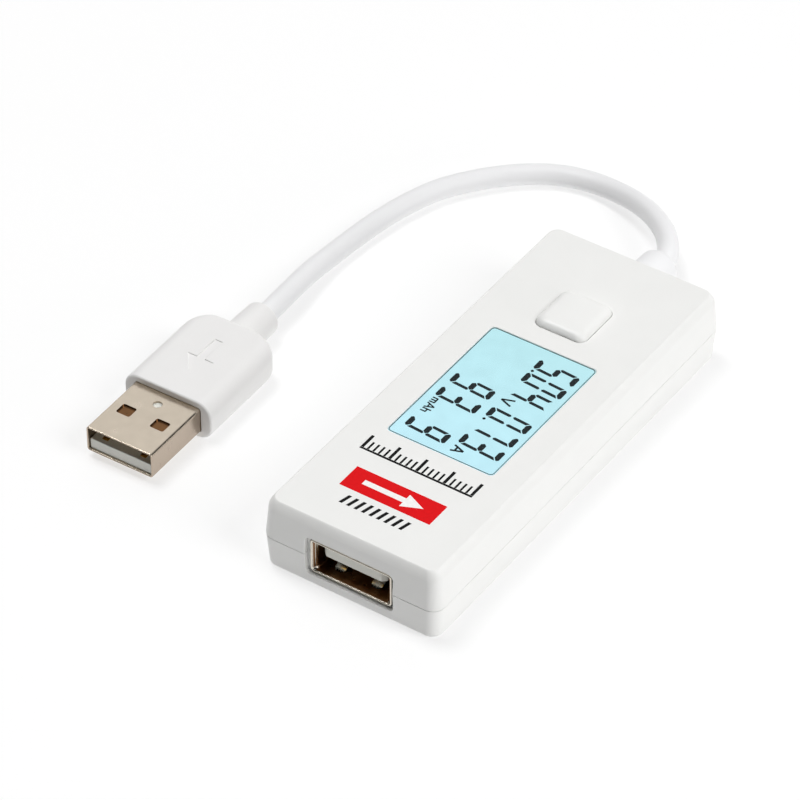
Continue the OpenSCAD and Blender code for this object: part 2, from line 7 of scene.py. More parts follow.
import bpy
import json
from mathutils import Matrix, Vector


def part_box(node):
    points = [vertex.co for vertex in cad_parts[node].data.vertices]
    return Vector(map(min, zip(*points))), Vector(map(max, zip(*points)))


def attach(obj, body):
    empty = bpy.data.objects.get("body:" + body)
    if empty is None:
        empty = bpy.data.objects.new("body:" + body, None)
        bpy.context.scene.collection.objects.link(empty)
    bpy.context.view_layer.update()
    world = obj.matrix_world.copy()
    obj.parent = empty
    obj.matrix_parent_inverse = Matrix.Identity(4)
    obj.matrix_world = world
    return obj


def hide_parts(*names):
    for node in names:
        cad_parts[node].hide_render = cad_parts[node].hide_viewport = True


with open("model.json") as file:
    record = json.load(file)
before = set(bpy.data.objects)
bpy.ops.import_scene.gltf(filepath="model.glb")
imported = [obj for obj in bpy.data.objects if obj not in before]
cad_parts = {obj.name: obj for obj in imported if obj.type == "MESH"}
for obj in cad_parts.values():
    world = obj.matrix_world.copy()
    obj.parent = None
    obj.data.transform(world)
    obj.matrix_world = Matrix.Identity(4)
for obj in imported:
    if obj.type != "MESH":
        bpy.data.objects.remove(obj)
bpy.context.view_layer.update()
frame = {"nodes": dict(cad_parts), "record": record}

import json
from math import atan2, cos, pi, radians, sin, tan

import bmesh
import bpy
from mathutils import Matrix, Vector

MM = 0.001
NODES = frame["nodes"]
MOUNTS = {mount["name"]: mount for mount in frame["record"]["mounts"]}


def box_mm(node):
    """Lowest and highest corner of a CAD node, in millimetres."""
    low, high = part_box(node)
    return low / MM, high / MM


# ---------------------------------------------------------------- sizes taken from the frame

TOP_LOW, TOP_HIGH = box_mm("top_shell")
CASE_W = 2 * TOP_HIGH.x
CASE_L = 2 * TOP_HIGH.y
CASE_H = TOP_HIGH.z
PARTING_Z = TOP_LOW.z
SEAM_GAP = 0.05
SKIN_T = 1.4
DRAFT = 0.4
CORNER_R = 2.1
TOP_EDGE_IN = 0.9
TOP_EDGE_H = 1.7
TOP_EDGE_FULLNESS = 1.35
BOTTOM_EDGE_R = 0.6
WALL_T = 1.7
CAVITY_W = CASE_W - 2 * WALL_T
CAVITY_L = CASE_L - 2 * WALL_T
CAVITY_R = 1.4
LIP_T = 0.6
LIP_H = 0.7
FIT_GAP = 0.05

WINDOW_LOW, WINDOW_HIGH = box_mm("display_window")
WINDOW_MID = (WINDOW_LOW + WINDOW_HIGH) / 2
WINDOW_SIZE = WINDOW_HIGH - WINDOW_LOW
WINDOW_R = 0.7
BOARD_LOW, BOARD_HIGH = box_mm("circuit_board")

CAP_LOW, CAP_HIGH = box_mm("button_cap")
CAP_Y = (CAP_LOW.y + CAP_HIGH.y) / 2
CAP_FLANGE_OUT = 0.8
CAP_W = CAP_HIGH.x - CAP_LOW.x - 2 * CAP_FLANGE_OUT
CAP_L = CAP_HIGH.y - CAP_LOW.y - 2 * CAP_FLANGE_OUT
CAP_R = 1.5

SOCKET = Vector(MOUNTS["usb_a_socket"]["pos_m"]) / MM
POCKET_Z = SOCKET.z + 0.15
POCKET_DEPTH = 1.05
SOCKET_W = 13.1
SOCKET_H = 5.7
SOCKET_SHEET_T = 0.3
# Distance from the socket's rim to the insulator block that closes it
BLOCK_FRONT = 9.8
GROMMET_LOW, GROMMET_HIGH = box_mm("cable_grommet")
GROMMET_Z = (GROMMET_LOW.z + GROMMET_HIGH.z) / 2

PLUG = Vector(MOUNTS["usb_a_plug"]["pos_m"]) / MM
PLUG_AXIS = Vector(MOUNTS["usb_a_plug"]["axis"])
PLUG_YAW = atan2(PLUG_AXIS.x, -PLUG_AXIS.y)
# Plug pieces are drawn with their tip at the origin and +Y towards the lead
PLUG_FRAME = Matrix.Translation(PLUG * MM) @ Matrix.Rotation(PLUG_YAW, 4, "Z")
PLUG_W = 12.1
PLUG_H = 4.6
PLUG_SHEET_T = 0.3
SHELL_OUT = 12.5
SHELL_L = 19
GRIP_W = 16
GRIP_L = 18.8
GRIP_H = 7
RELIEF_L = 7

# USB-A contacts across a socket or a plug, as the standard sets them
CONTACT_XS = (-3.5, -1, 1, 3.5)


# ---------------------------------------------------------------- camera

def make_camera():
    azimuth, elevation = radians(34.202), radians(40.626)
    back = Vector((sin(azimuth) * cos(elevation), -cos(azimuth) * cos(elevation), sin(elevation)))
    data = bpy.data.cameras.new("camera")
    data.lens = 202.5
    data.sensor_width = 36
    camera = bpy.data.objects.new("camera", data)
    camera.location = (0.273985, -0.429002, 0.447511)
    camera.rotation_euler = back.to_track_quat("Z", "Y").to_euler()
    bpy.context.scene.collection.objects.link(camera)
    bpy.context.scene.camera = camera


make_camera()


# ---------------------------------------------------------------- outlines and rings

def rounded_loop(w, l, r, steps=10):
    """Anticlockwise outline of a rectangle with round corners, 4 * (steps + 1) points."""
    points = []
    for quarter, (qx, qy) in enumerate(((1, 1), (-1, 1), (-1, -1), (1, -1))):
        for i in range(steps + 1):
            a = (quarter + i / steps) * pi / 2
            points.append((qx * (w / 2 - r) + r * cos(a), qy * (l / 2 - r) + r * sin(a)))
    return points


def circle_loop(r, steps=40):
    return [(r * cos(2 * pi * i / steps), r * sin(2 * pi * i / steps)) for i in range(steps)]


def at_z(outline, z, x=0, y=0):
    """Ring of a level outline."""
    return [(x + px, y + py, z) for px, py in outline]


def at_y(outline, y, x=0, z=0):
    """Ring of an upright outline whose second value is its height."""
    return [(x + px, y, z + pz) for px, pz in outline]


def arc_steps(count):
    """Angles from 0 to a right angle."""
    return [pi / 2 * i / count for i in range(count + 1)]


# ---------------------------------------------------------------- mesh helpers

def to_object(name, bm):
    bmesh.ops.remove_doubles(bm, verts=bm.verts, dist=1e-8)
    bmesh.ops.recalc_face_normals(bm, faces=bm.faces)
    mesh = bpy.data.meshes.new(name)
    bm.to_mesh(mesh)
    bm.free()
    obj = bpy.data.objects.new(name, mesh)
    bpy.context.scene.collection.objects.link(obj)
    return obj


def add_loft(bm, rings, closed=False):
    """Skins rings that all have the same number of points. An open loft is capped at both ends."""
    rows = [[bm.verts.new(Vector(point) * MM) for point in ring] for ring in rings]
    pairs = list(zip(rows, rows[1:])) + ([(rows[-1], rows[0])] if closed else [])
    for first, second in pairs:
        for k in range(len(first)):
            j = (k + 1) % len(first)
            bm.faces.new((first[k], first[j], second[j], second[k]))
    if not closed:
        bm.faces.new(rows[0][::-1])
        bm.faces.new(rows[-1])


def loft(name, rings, closed=False):
    bm = bmesh.new()
    add_loft(bm, rings, closed)
    return to_object(name, bm)


def prism(name, outlines, low, high):
    """Closed slabs of level outlines between two heights."""
    bm = bmesh.new()
    for outline in outlines:
        add_loft(bm, [at_z(outline, low), at_z(outline, high)])
    return to_object(name, bm)


def bake(obj):
    """Applies the object's modifiers."""
    graph = bpy.context.evaluated_depsgraph_get()
    mesh = bpy.data.meshes.new_from_object(obj.evaluated_get(graph))
    old = obj.data
    obj.modifiers.clear()
    obj.data = mesh
    bpy.data.meshes.remove(old)
    mesh.name = obj.name


def boolean(obj, operation, *tools):
    for tool in tools:
        modifier = obj.modifiers.new("boolean", "BOOLEAN")
        modifier.operation = operation
        modifier.solver = "EXACT"
        modifier.object = tool
        bake(obj)
        bpy.data.objects.remove(tool)
    return obj


def cut(obj, *tools):
    return boolean(obj, "DIFFERENCE", *tools)


def unite(obj, *tools):
    return boolean(obj, "UNION", *tools)


def soften(obj, width, pick):
    """Rounds the edges that turn by more than 30 degrees and whose middle, in millimetres, is picked."""
    bm = bmesh.new()
    bm.from_mesh(obj.data)
    edges = [
        edge for edge in bm.edges
        if len(edge.link_faces) == 2
        and edge.calc_face_angle(0) > radians(30)
        and pick((edge.verts[0].co + edge.verts[1].co) / 2 / MM)
    ]
    bmesh.ops.bevel(bm, geom=edges, offset=width * MM, offset_type="OFFSET", segments=3,
                    profile=0.5, affect="EDGES", clamp_overlap=True)
    bm.to_mesh(obj.data)
    bm.free()
    return obj


def shade(obj, angle=35):
    """Smooth shading that breaks at sharp edges and keeps the large flats flat."""
    for polygon in obj.data.polygons:
        polygon.use_smooth = True
    obj.data.set_sharp_from_angle(angle=radians(angle))
    modifier = obj.modifiers.new("normals", "WEIGHTED_NORMAL")
    modifier.keep_sharp = True
    modifier.weight = 100
    bake(obj)
    return obj


def finish_piece(obj, material, replaced=(), body="meter"):
    obj.data.materials.clear()
    obj.data.materials.append(material)
    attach(obj, body)
    if replaced:
        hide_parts(*replaced)
    return obj


# ---------------------------------------------------------------- materials

def srgb(*levels):
    """Linear colour of three 0 to 255 display levels."""
    return tuple((v / 255 / 12.92 if v <= 10 else ((v / 255 + 0.055) / 1.055) ** 2.4) for v in levels)


def scaled(colour, factor):
    return (*(min(1, channel * factor) for channel in colour), 1)


class Nodes:
    """Short hand for building a node tree."""

    def __init__(self, name):
        self.material = bpy.data.materials.new(name)
        self.material.use_nodes = True
        self.tree = self.material.node_tree
        self.shader = self.tree.nodes["Principled BSDF"]
        self.place = self.add("ShaderNodeTexCoord").outputs["Object"]

    def add(self, kind, inputs=None, **settings):
        node = self.tree.nodes.new(kind)
        for key, value in settings.items():
            setattr(node, key, value)
        for key, value in (inputs or {}).items():
            if isinstance(value, bpy.types.NodeSocket):
                self.tree.links.new(value, node.inputs[key])
            else:
                node.inputs[key].default_value = value
        return node

    def link(self, source, socket):
        self.tree.links.new(source, self.shader.inputs[socket])

    def stretched(self, stretch):
        return self.add("ShaderNodeMapping", {"Vector": self.place, "Scale": stretch}).outputs["Vector"]

    def noise(self, size, stretch=(1, 1, 1), detail=2.0, roughness=0.5):
        """Noise whose features are about size millimetres wide."""
        inputs = {"Vector": self.stretched(stretch), "Scale": 1 / (size * MM), "Detail": detail,
                  "Roughness": roughness}
        return self.add("ShaderNodeTexNoise", inputs).outputs["Fac"]

    def ranged(self, value, low, high, start=0.3, end=0.7):
        inputs = {"Value": value, "From Min": start, "From Max": end, "To Min": low, "To Max": high}
        return self.add("ShaderNodeMapRange", inputs).outputs["Result"]

    def blended(self, factor, first, second):
        node = self.add("ShaderNodeMix", data_type="RGBA", blend_type="MIX")
        self.tree.links.new(factor, node.inputs["Factor"])
        for socket, value in ((node.inputs[6], first), (node.inputs[7], second)):
            if isinstance(value, bpy.types.NodeSocket):
                self.tree.links.new(value, socket)
            else:
                socket.default_value = value
        return node.outputs[2]

    def bumped(self, height, depth):
        """Normal that follows a height, with a depth in millimetres."""
        inputs = {"Height": height, "Distance": depth * MM, "Strength": 1.0}
        return self.add("ShaderNodeBump", inputs).outputs["Normal"]


def moulded(name, colour, rough=0.4, vary=0.02, grain=0.12, depth=0.004, level=0.5, patch=6.0):
    """Moulded plastic: faint clouding, a fine grain, and a gloss that changes a little over the surface."""
    nodes = Nodes(name)
    clouds = nodes.noise(patch, detail=3)
    fine = nodes.noise(grain, detail=2)
    nodes.link(nodes.blended(clouds, scaled(colour, 1 - vary), scaled(colour, 1 + vary)), "Base Color")
    nodes.link(nodes.ranged(nodes.noise(patch / 3), rough - 0.05, rough + 0.05), "Roughness")
    nodes.link(nodes.bumped(fine, depth), "Normal")
    nodes.shader.inputs["Specular IOR Level"].default_value = level
    return nodes.material


def sheet_metal(name, colour, rough=0.2, stretch=(1, 0.08, 1), depth=0.0015, vary=0.06, sides=None):
    """Plated sheet: rolling marks along it and small stains. Its upright sides may take a painted shade, a
    darker colour in place of the dim surroundings they reflect.
    """
    nodes = Nodes(name)
    marks = nodes.noise(0.08, stretch=stretch, detail=3)
    stains = nodes.noise(1.6, detail=4, roughness=0.6)
    base = nodes.blended(stains, scaled(colour, 1 - vary), scaled(colour, 1 + vary))
    # Painted shade: faces whose normal lies level turn to the darker sides colour
    if sides:
        normal = nodes.add("ShaderNodeNewGeometry").outputs["Normal"]
        facing = nodes.add("ShaderNodeSeparateXYZ", {0: normal})
        level = nodes.add("ShaderNodeMath", {0: facing.outputs["Z"]}, operation="ABSOLUTE").outputs[0]
        base = nodes.blended(nodes.ranged(level, 0, 1), scaled(sides, 1), base)
    nodes.link(base, "Base Color")
    nodes.link(nodes.ranged(stains, rough - 0.04, rough + 0.06), "Roughness")
    nodes.link(nodes.bumped(marks, depth), "Normal")
    nodes.shader.inputs["Metallic"].default_value = 1.0
    return nodes.material


def printed(name, colour, rough=0.45):
    """Pad-printed ink: an even coat with a slightly patchy density."""
    nodes = Nodes(name)
    nodes.link(nodes.blended(nodes.noise(0.5, detail=4), scaled(colour, 0.85), scaled(colour, 1.1)),
               "Base Color")
    nodes.link(nodes.ranged(nodes.noise(0.3), rough - 0.06, rough + 0.06), "Roughness")
    nodes.link(nodes.bumped(nodes.noise(0.08), 0.002), "Normal")
    nodes.shader.inputs["Specular IOR Level"].default_value = 0.1
    return nodes.material


def lit_display(name, near, far, strength):
    """Backlit cell: the light is a little deeper at the socket end and has faint clouding."""
    nodes = Nodes(name)
    split = nodes.add("ShaderNodeSeparateXYZ", {"Vector": nodes.place})
    along = nodes.ranged(split.outputs["Y"], 0, 1, WINDOW_LOW.y * MM, WINDOW_HIGH.y * MM)
    glow = nodes.blended(along, (*near, 1), (*far, 1))
    clouds = nodes.ranged(nodes.noise(3.0, detail=2), 0.97, 1.03)
    shaded = nodes.add("ShaderNodeVectorMath", {0: glow, "Scale": clouds}, operation="SCALE")
    nodes.link(shaded.outputs["Vector"], "Emission Color")
    nodes.link(nodes.blended(nodes.noise(1.0), (0.02, 0.03, 0.03, 1), (0.03, 0.04, 0.04, 1)), "Base Color")
    nodes.shader.inputs["Emission Strength"].default_value = strength
    nodes.shader.inputs["Roughness"].default_value = 0.35
    nodes.shader.inputs["Specular IOR Level"].default_value = 0.1
    return nodes.material


def clear_sheet(name, colour, alpha, rough=0.08):
    nodes = Nodes(name)
    nodes.link(nodes.blended(nodes.noise(4.0), scaled(colour, 0.97), scaled(colour, 1.0)), "Base Color")
    nodes.link(nodes.ranged(nodes.noise(0.8, detail=3), rough - 0.03, rough + 0.05), "Roughness")
    nodes.link(nodes.bumped(nodes.noise(0.4), 0.0008), "Normal")
    nodes.shader.inputs["Alpha"].default_value = alpha
    return nodes.material


def circuit_mask(name):
    """Green solder mask over a weave of copper tracks."""
    nodes = Nodes(name)
    tracks = nodes.add("ShaderNodeTexBrick", {
        "Vector": nodes.place, "Scale": 1 / (3 * MM), "Mortar Size": 0.04,
        "Color1": (*srgb(14, 92, 56), 1), "Color2": (*srgb(18, 104, 62), 1),
        "Mortar": (*srgb(46, 140, 88), 1),
    })
    weave = nodes.add("ShaderNodeTexWave", {"Vector": nodes.place, "Scale": 1 / (0.6 * MM),
                                            "Distortion": 1.0})
    nodes.link(tracks.outputs["Color"], "Base Color")
    nodes.link(nodes.ranged(nodes.noise(2.0), 0.22, 0.34), "Roughness")
    nodes.link(nodes.bumped(weave.outputs["Fac"], 0.003), "Normal")
    return nodes.material


WHITE_CASE = srgb(236, 236, 234)
WHITE_SOFT = srgb(234, 233, 232)
CASE_PLASTIC = moulded("case_plastic", WHITE_CASE, rough=0.42)
BUTTON_PLASTIC = moulded("button_plastic", srgb(238, 238, 236), rough=0.38, grain=0.1)
LEAD_PVC = moulded("lead_pvc", srgb(236, 236, 237), rough=0.45, grain=0.2, depth=0.006, level=0.4)
GRIP_PVC = moulded("grip_pvc", WHITE_SOFT, rough=0.5, grain=0.16, depth=0.006, level=0.4)
TONGUE_PLASTIC = moulded("tongue_plastic", srgb(226, 226, 218), rough=0.5, grain=0.08)
FRAME_PLASTIC = moulded("frame_plastic", srgb(228, 228, 224), rough=0.55)
SOCKET_METAL = sheet_metal("socket_metal", srgb(214, 208, 196), rough=0.2)
# Its sides colour is a painted shade on the upright faces of the plug's shell
PLUG_METAL = sheet_metal("plug_metal", srgb(229, 216, 198), rough=0.22, sides=srgb(184, 169, 153))
# Painted shade: a dark brown metal laid inside the plug and socket shells where their insides lie in shade
PAINTED_SHADE_METAL = sheet_metal("painted_shade_metal", srgb(128, 92, 60), rough=0.3, vary=0.25)
CONTACT_GOLD = sheet_metal("contact_gold", srgb(232, 186, 92), rough=0.18)
SWITCH_STEEL = sheet_metal("switch_steel", srgb(200, 200, 202), rough=0.25, stretch=(0.1, 1, 1))
TINNED_LEADS = sheet_metal("tinned_leads", srgb(206, 206, 208), rough=0.3, stretch=(1, 1, 1))
SHUNT_METAL = sheet_metal("shunt_metal", srgb(126, 124, 120), rough=0.4, stretch=(0.1, 1, 1))
CAN_METAL = sheet_metal("can_metal", srgb(204, 205, 208), rough=0.28, stretch=(1, 1, 0.1))
SWITCH_BLACK = moulded("switch_black", srgb(30, 30, 31), rough=0.5, vary=0.08)
CHIP_BLACK = moulded("chip_black", srgb(34, 34, 35), rough=0.6, vary=0.1, grain=0.06, depth=0.008)
CHIP_CERAMIC = moulded("chip_ceramic", srgb(176, 148, 108), rough=0.5, vary=0.08, grain=0.1, depth=0.006)
LED_RESIN = moulded("led_resin", srgb(240, 226, 150), rough=0.3, vary=0.04)
ZEBRA_RUBBER = moulded("zebra_rubber", srgb(222, 150, 158), rough=0.7, vary=0.06, depth=0.01)
DIFFUSER_SHEET = moulded("diffuser_sheet", srgb(232, 244, 247), rough=0.6, grain=0.06)
LIGHT_GUIDE = moulded("light_guide", srgb(200, 236, 246), rough=0.15, depth=0.002)
BOARD_GREEN = circuit_mask("board_green")
INK_BLACK = printed("ink_black", srgb(14, 13, 14))
INK_RED = printed("ink_red", srgb(222, 4, 14), rough=0.4)
INK_WHITE = printed("ink_white", srgb(246, 244, 242))
SEGMENT_DARK = printed("segment_dark", srgb(6, 10, 12), rough=0.3)
LCD_LIT = lit_display("lcd_lit", srgb(192, 236, 248), srgb(185, 231, 238), 1.0)
LCD_REAR = clear_sheet("lcd_rear", srgb(190, 226, 236), 0.35)
WINDOW_CLEAR = clear_sheet("window_clear", srgb(150, 176, 184), 0.02)
WIRE_COLOURS = {
    "wire_red": moulded("wire_red", srgb(200, 26, 30), rough=0.35, vary=0.05),
    "wire_black": moulded("wire_black", srgb(26, 26, 27), rough=0.35, vary=0.08),
    "wire_white": moulded("wire_white", srgb(232, 231, 226), rough=0.35),
    "wire_green": moulded("wire_green", srgb(30, 130, 58), rough=0.35, vary=0.05),
}


# ---------------------------------------------------------------- lead

def smooth_route(points, start, end, steps=6):
    """Points of a Catmull-Rom curve through a route, leaving and arriving along two directions."""
    points = [Vector(p) for p in points]
    first = points[0] - Vector(start) * (points[1] - points[0]).length
    last = points[-1] + Vector(end) * (points[-1] - points[-2]).length
    padded = [first, *points, last]
    curve = []
    for a, b, c, d in zip(padded, padded[1:], padded[2:], padded[3:]):
        for i in range(steps):
            t = i / steps
            curve.append(0.5 * (2 * b + (c - a) * t + (2 * a - 5 * b + 4 * c - d) * t ** 2
                                + (3 * b - a - 3 * c + d) * t ** 3))
    return curve + [points[-1]]


def tube_rings(curve, radius, start, end, sides):
    """Rings square to a curve that never runs straight up."""
    rings = []
    for i, centre in enumerate(curve):
        if i == 0:
            ahead = Vector(start)
        elif i == len(curve) - 1:
            ahead = Vector(end)
        else:
            ahead = (curve[i + 1] - curve[i - 1]).normalized()
        side = Vector((ahead.y, -ahead.x, 0)).normalized()
        up = side.cross(ahead)
        rings.append([centre + radius * (cos(2 * pi * k / sides) * side + sin(2 * pi * k / sides) * up)
                      for k in range(sides)])
    return rings


CABLE_D = 3.5
PLUG_END = PLUG - PLUG_AXIS * (SHELL_OUT + GRIP_L + RELIEF_L)
CABLE_ROUTE = [
    (0, 46.8, 5.5), (-0.4, 49, 5.5), (-1.8, 51.7, 5.4), (-4.2, 54.6, 5.2), (-8, 57.6, 4.6),
    (-12.5, 60.2, 3.6), (-17.5, 62, 2.5), (-22.5, 62.6, 1.9), (-27.5, 61.5, 1.8), (-32, 59, 1.8),
    (-36, 55.5, 1.8), (-39.5, 51.3, 1.8), (-42.2, 47, 1.8), (-44, 42, 1.8), (-45.2, 37, 1.8),
    (-46, 32, 1.8), (-46.5, 27, 1.8), (-46.7, 22.5, 2), (-46.5, 17.5, 2.7), (-46, 12.5, 3.3),
    (-45.7, 8, 3.5), tuple(PLUG_END),
]


def lead():
    start, end = (0, 1, 0), tuple(PLUG_AXIS)
    curve = smooth_route(CABLE_ROUTE, start, end)
    obj = loft("lead_jacket", tube_rings(curve, CABLE_D / 2, start, end, 28))
    shade(obj, 60)
    finish_piece(obj, LEAD_PVC, ["cable"])
    path = [point * MM for point in curve]
    return obj, path


LEAD, LEAD_PATH = lead()


def grommet():
    """Sleeve round the lead where it leaves the case, with a flange and a neck in the wall."""
    wall_in = CASE_L / 2 - WALL_T
    wall_out = CASE_L / 2
    flange_y = wall_in - 0.1
    sleeve_r, tip_r, tip_round = 3.5, 3.3, 1.0
    end = GROMMET_HIGH.y
    profile = [(0.3, flange_y - 2), (3.85, flange_y - 2), (4, flange_y - 1.85), (4, flange_y - 0.15),
               (3.85, flange_y), (3.2, flange_y), (3.2, wall_out + 0.1), (sleeve_r - 0.12, wall_out + 0.1),
               (sleeve_r, wall_out + 0.25)]
    profile += [(tip_r - tip_round + tip_round * cos(a), end - tip_round + tip_round * sin(a))
                for a in arc_steps(8)]
    profile += [(1.9, end), (1.8, end - 0.15), (0.3, end - 0.15)]
    obj = loft("grommet_sleeve", [at_y(circle_loop(r), y, z=GROMMET_Z) for r, y in profile])
    shade(obj)
    return finish_piece(obj, LEAD_PVC, ["cable_grommet"])


def inner_wires():
    """Four insulated wires that fan out from the lead to their pads on the board."""
    routes = {
        "outer": [(0.6, 35.5, 4.9), (0.8, 34.4, 4.9), (2, 33.1, 5.4), (3.4, 31.8, 6.4), (4.2, 30.6, 6.45),
                  (4.5, 29.6, 6.25), (4.5, 28.4, 6.25)],
        "inner": [(0.6, 35.5, 6.1), (0.65, 34.2, 6.3), (0.9, 33, 6.6), (1.3, 31.8, 6.7),
                  (1.5, 30.6, 6.5), (1.5, 29.6, 6.25), (1.5, 28.4, 6.25)],
    }
    back = (0, -1, 0)
    for node, route, side in (("wire_red", "outer", -1), ("wire_black", "outer", 1),
                              ("wire_white", "inner", -1), ("wire_green", "inner", 1)):
        points = [(side * x, y, z) for x, y, z in routes[route]]
        curve = smooth_route(points, back, back, 4)
        obj = loft(node + "_insulation", tube_rings(curve, 0.48, back, back, 14))
        shade(obj, 60)
        finish_piece(obj, WIRE_COLOURS[node], [node])


# ---------------------------------------------------------------- plug

def in_plug_frame(obj):
    obj.data.transform(PLUG_FRAME)
    return obj


def plug_shell():
    """Folded sheet shell with a rounded mouth, four latch windows and a crimp hole."""
    w, h, r, sheet = PLUG_W, PLUG_H, 0.5, PLUG_SHEET_T
    mouth = sheet / 2
    rings = [at_y(rounded_loop(w, h, r), SHELL_L)]
    for a in [pi * i / 8 for i in range(9)]:
        inset = mouth * (1 - cos(a))
        rings.append(at_y(rounded_loop(w - 2 * inset, h - 2 * inset, max(0.2, r - inset)),
                          mouth * (1 - sin(a))))
    rings.append(at_y(rounded_loop(w - 2 * sheet, h - 2 * sheet, 0.2), SHELL_L))
    obj = loft("plug_sheet_shell", rings, closed=True)
    latch = rounded_loop(2.5, 2.2, 0.35, 6)
    windows = [[(x + px, 6.3 + py) for px, py in latch] for x in (-3.1, 3.1)]
    holes = windows + [[(px, 10 + py) for px, py in circle_loop(0.75, 32)]]
    cut(obj, prism("cutter", holes, h / 2 - 0.6, h / 2 + 1),
        prism("cutter", holes, -h / 2 - 1, -h / 2 + 0.6))
    # Butt joint of the folded sheet along the underside, with one dovetail
    seam = [(-0.05, -1), (0.05, -1), (0.05, 2.6), (1.05, 2.3), (1.05, 4), (0.05, 3.7), (0.05, SHELL_L + 1),
            (-0.05, SHELL_L + 1), (-0.05, 3.6), (0.95, 3.88), (0.95, 2.42), (-0.05, 2.7)]
    cut(obj, prism("cutter", [seam], -h / 2 - 1, -h / 2 + 0.6))
    shade(obj, 40)
    return finish_piece(in_plug_frame(obj), PLUG_METAL, ["plug_shell"])


def contact_front(x):
    """Distance behind the plug's tip. The outer contacts reach further forward than the inner ones."""
    return 1.2 if abs(x) > 2 else 2.2


def plug_insulator():
    """Shelf under the contacts and a full block behind it."""
    shelf = loft("plug_inner_block", [
        at_y(rounded_loop(11.4 - 2 * e, 1.9 - 2 * e, 0.3), y, z=-1.05)
        for y, e in ((0.4, 0.15), (0.45, 0.05), (0.55, 0), (8.6, 0))
    ])
    block = loft("block", [
        at_y(rounded_loop(11.4 - 2 * e, 3.9 - 2 * e, 0.3), y)
        for y, e in ((8.4, 0.15), (8.45, 0.05), (8.55, 0), (SHELL_L, 0))
    ])
    unite(shelf, block)
    bars = []
    for x in CONTACT_XS:
        front = contact_front(x)
        bars.append([(x - 0.5, front), (x + 0.5, front), (x + 0.5, SHELL_L + 1), (x - 0.5, SHELL_L + 1)])
    cut(shelf, prism("cutter", bars, -0.1, 0.1))
    shade(shelf)
    return finish_piece(in_plug_frame(shelf), TONGUE_PLASTIC, ["plug_insulator"])


def plug_contacts():
    """Four gold strips let into the insulator, each with a rounded nose."""
    bm = bmesh.new()
    for x in CONTACT_XS:
        front = contact_front(x)
        section = [(x - 0.5, -0.1), (x + 0.5, -0.1), (x + 0.5, 0.07), (x + 0.44, 0.1), (x - 0.44, 0.1),
                   (x - 0.5, 0.07)]
        nose = [(px, -0.1 + (pz + 0.1) * 0.4) for px, pz in section]
        add_loft(bm, [at_y(nose, front), at_y(section, front + 0.35), at_y(section, SHELL_L)])
    obj = shade(to_object("plug_contact_strips", bm))
    return finish_piece(in_plug_frame(obj), CONTACT_GOLD, ["plug_contacts"])


def plug_window_shade_sheet():
    """Painted shade: a dark sheet behind the shell's upper latch windows, in place of the shade inside the
    shell.
    """
    top = PLUG_H / 2 - PLUG_SHEET_T
    outline = [(-5.4, 4.9), (5.4, 4.9), (5.4, 7.7), (-5.4, 7.7)]
    sheet = prism("plug_window_shade_sheet", [outline], top - 0.05, top - 0.02)
    return finish_piece(in_plug_frame(sheet), PAINTED_SHADE_METAL)


def plug_grip():
    """Moulded grip: sunk round the shell in front, well rounded behind, with a plain arrow on top."""
    section_r, front_r, rear_r, rear_edge_r = 2.6, 0.35, 3.5, 0.6
    rings = [
        at_y(rounded_loop(PLUG_W, PLUG_H, 0.5), SHELL_L),
        at_y(rounded_loop(PLUG_W, PLUG_H, 0.5), SHELL_OUT + 0.5),
        at_y(rounded_loop(12.22, 4.72, 0.55), SHELL_OUT + 0.5),
        at_y(rounded_loop(12.22, 4.72, 0.55), SHELL_OUT + 0.06),
        at_y(rounded_loop(12.34, 4.84, 0.6), SHELL_OUT),
    ]
    for a in arc_steps(6):
        inset = front_r * (1 - sin(a))
        rings.append(at_y(rounded_loop(GRIP_W - 2 * inset, GRIP_H - 2 * inset, section_r - inset * 0.3),
                          SHELL_OUT + front_r * (1 - cos(a))))
    for a in arc_steps(12):
        w = GRIP_W - 2 * rear_r * (1 - cos(a))
        behind = rear_r * (1 - sin(a))
        past = max(0, 1 - behind / rear_edge_r)
        h = GRIP_H - 2 * rear_edge_r * (1 - (1 - past ** 2) ** 0.5)
        rings.append(at_y(rounded_loop(w, h, min(section_r, h / 2 - 0.3)), SHELL_OUT + GRIP_L - behind))
    obj = loft("grip_moulding", rings)
    arrow = [(0, 18), (2.4, 21.4), (0.7, 21.4), (0.7, 26.2), (-0.7, 26.2), (-0.7, 21.4), (-2.4, 21.4)]
    cut(obj, prism("cutter", [arrow], GRIP_H / 2 - 0.19, GRIP_H / 2 + 1))
    soften(obj, 0.09, lambda p: p.z > GRIP_H / 2 - 0.2 and abs(p.x) < 2.6 and 17 < p.y < 27)
    shade(obj)
    return finish_piece(in_plug_frame(obj), GRIP_PVC, ["plug_grip"])


def plug_relief():
    start = SHELL_OUT + GRIP_L
    end = start + RELIEF_L
    profile = [(0.5, start - 0.4), (3.1, start - 0.4), (3.1, start)]
    profile += [(2.1 + 0.8 * cos(a), end - 0.8 + 0.8 * sin(a)) for a in arc_steps(8)]
    profile += [(1.85, end), (1.78, end - 0.1), (0.5, end - 0.1)]
    obj = shade(loft("relief_sleeve", [at_y(circle_loop(r), y) for r, y in profile]))
    return finish_piece(in_plug_frame(obj), GRIP_PVC, ["plug_strain_relief"])


LEAD_PIECES = [grommet(), plug_relief(), plug_grip(), plug_shell(), plug_insulator(), plug_contacts(),
               plug_window_shade_sheet()]
inner_wires()


# ---------------------------------------------------------------- case

def case_ring(z, inset):
    r = CORNER_R - inset / 2
    return at_z(rounded_loop(CASE_W - 2 * inset, CASE_L - 2 * inset, r, 12), z)


def cavity_ring(z, grow=0.0):
    return at_z(rounded_loop(CAVITY_W + 2 * grow, CAVITY_L + 2 * grow, CAVITY_R + grow, 12), z)


